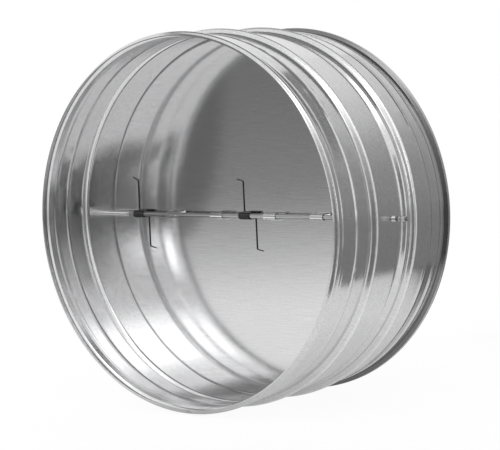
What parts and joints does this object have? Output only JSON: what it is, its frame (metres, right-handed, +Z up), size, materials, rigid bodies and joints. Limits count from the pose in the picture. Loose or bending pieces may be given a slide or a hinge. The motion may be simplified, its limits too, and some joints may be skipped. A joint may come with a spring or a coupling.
{
  "type": "duct backdraft damper",
  "caption": "Spring-loaded butterfly backdraft damper: rolled sheet casing for a round duct, with half-disc blades on a cross axle that fold towards the outlet and spring shut.",
  "frame": {"origin": "centre of the whole damper, on the duct's axis midway between the two rims", "axes": "+Y along the duct from the outlet to the inlet, +X along the axle, +Z up through the upper blade"},
  "size_m": [0.3312, 0.1646, 0.3166],
  "materials": {
    "galvanised_sheet": "bright galvanised sheet",
    "axle_steel": "drawn steel",
    "sleeve_steel": "bright plated tube",
    "blade_sheet": "bright rolled sheet",
    "spring_wire": "dark spring wire"
  },
  "bodies": {
    "casing": {"casing": "galvanised_sheet", "axle": "axle_steel", "left_sleeve": "sleeve_steel", "right_sleeve": "sleeve_steel", "left_spring": "spring_wire", "centre_spring": "spring_wire", "right_spring": "spring_wire"},
    "upper_blade": {"upper_blade": "blade_sheet"},
    "lower_blade": {"lower_blade": "blade_sheet"}
  },
  "joints": [
    {"name": "upper_blade_hinge", "type": "hinge", "parent": "casing", "child": "upper_blade", "pos_m": [0, 0.00165, 0], "axis": [1, 0, 0], "range_deg": [0, 85], "stiffness_Nm_per_rad": 0.034, "springref_deg": -67.61, "deforming": ["left_spring", "centre_spring", "right_spring"]},
    {"name": "lower_blade_hinge", "type": "hinge", "parent": "casing", "child": "lower_blade", "pos_m": [0, 0.00165, 0], "axis": [-1, 0, 0], "range_deg": [0, 85], "stiffness_Nm_per_rad": 0.034, "springref_deg": -67.61, "deforming": ["left_spring", "centre_spring", "right_spring"]}
  ]
}
